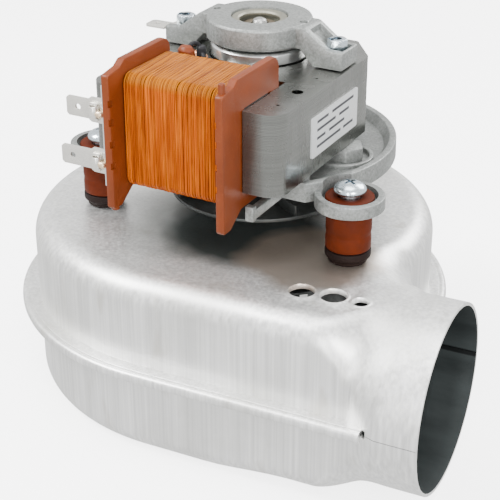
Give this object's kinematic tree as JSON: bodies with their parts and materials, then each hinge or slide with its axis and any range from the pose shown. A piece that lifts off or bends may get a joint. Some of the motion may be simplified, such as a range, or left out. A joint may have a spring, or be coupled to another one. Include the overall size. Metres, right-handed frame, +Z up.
{
  "type": "boiler exhaust fan",
  "caption": "Flue-gas exhaust fan with a pressed scroll housing, round side outlet, and a C-frame shaded-pole motor on rubber dampers above a hidden impeller.",
  "frame": {"origin": "centre of the bounding box at the underside of the housing", "axes": "+X along the outlet duct, out of the housing; +Y away from the outlet side, across the housing; +Z up along the motor shaft"},
  "size_m": [0.1676, 0.149, 0.128],
  "materials": {
    "pressed_sheet": "aluminised pressed sheet, semi-matte with faint drawing marks",
    "cast_alloy": "die-cast alloy, fine granular surface",
    "laminated_steel": "stacked electrical steel sheets, satin",
    "bobbin_nylon": "moulded terracotta plastic",
    "enamelled_wire": "orange enamelled copper wire",
    "damper_rubber": "orange-brown moulded rubber",
    "dark_rubber": "dark rubber",
    "zinc_plate": "bright zinc-plated steel",
    "tinned_brass": "tin-plated brass",
    "copper": "bare copper",
    "sintered_bronze": "oil-soaked sintered bronze",
    "ground_steel": "ground steel",
    "rotor_aluminium": "cast aluminium, turned",
    "label_foil": "silver foil label, blank",
    "black_plastic": "black plastic sleeve"
  },
  "bodies": {
    "fan_body": {"bobbin": "bobbin_nylon", "bolt_washer": "zinc_plate", "bracket_bolt_left": "zinc_plate", "bracket_bolt_right": "zinc_plate", "coil_core": "laminated_steel", "damper_bush_left": "zinc_plate", "damper_bush_rear": "zinc_plate", "damper_bush_right": "zinc_plate", "damper_left": "damper_rubber", "damper_rear": "damper_rubber", "damper_right": "damper_rubber", "damper_screw_left": "zinc_plate", "damper_screw_rear": "zinc_plate", "damper_screw_right": "zinc_plate", "damper_foot_left": "dark_rubber", "damper_foot_rear": "dark_rubber", "damper_foot_right": "dark_rubber", "earth_tab": "tinned_brass", "lower_bearing": "sintered_bronze", "lower_bearing_retainer": "tinned_brass", "lower_bracket": "cast_alloy", "lower_shell": "pressed_sheet", "lower_terminal": "tinned_brass", "rating_plate": "label_foil", "shading_ring_left": "copper", "shading_ring_right": "copper", "stator_core": "laminated_steel", "thermal_fuse": "black_plastic", "splice_cap": "bobbin_nylon", "upper_bearing": "sintered_bronze", "upper_bearing_retainer": "tinned_brass", "upper_bracket": "cast_alloy", "upper_shell": "pressed_sheet", "upper_terminal": "tinned_brass", "winding": "enamelled_wire"},
    "rotor": {"shaft": "ground_steel", "rotor_core": "laminated_steel", "upper_end_ring": "rotor_aluminium", "lower_end_ring": "rotor_aluminium", "upper_thrust_washer": "black_plastic", "lower_thrust_washer": "black_plastic", "cooling_disc": "rotor_aluminium", "impeller_wheel": "pressed_sheet", "impeller_shroud": "pressed_sheet", "impeller_hub": "sintered_bronze", "impeller_nut": "zinc_plate"}
  },
  "joints": [
    {"name": "rotor_spin", "type": "hinge", "parent": "fan_body", "child": "rotor", "pos_m": [-0.00125, 0.003, 0.0825], "axis": [0, 0, 1], "continuous": true}
  ]
}
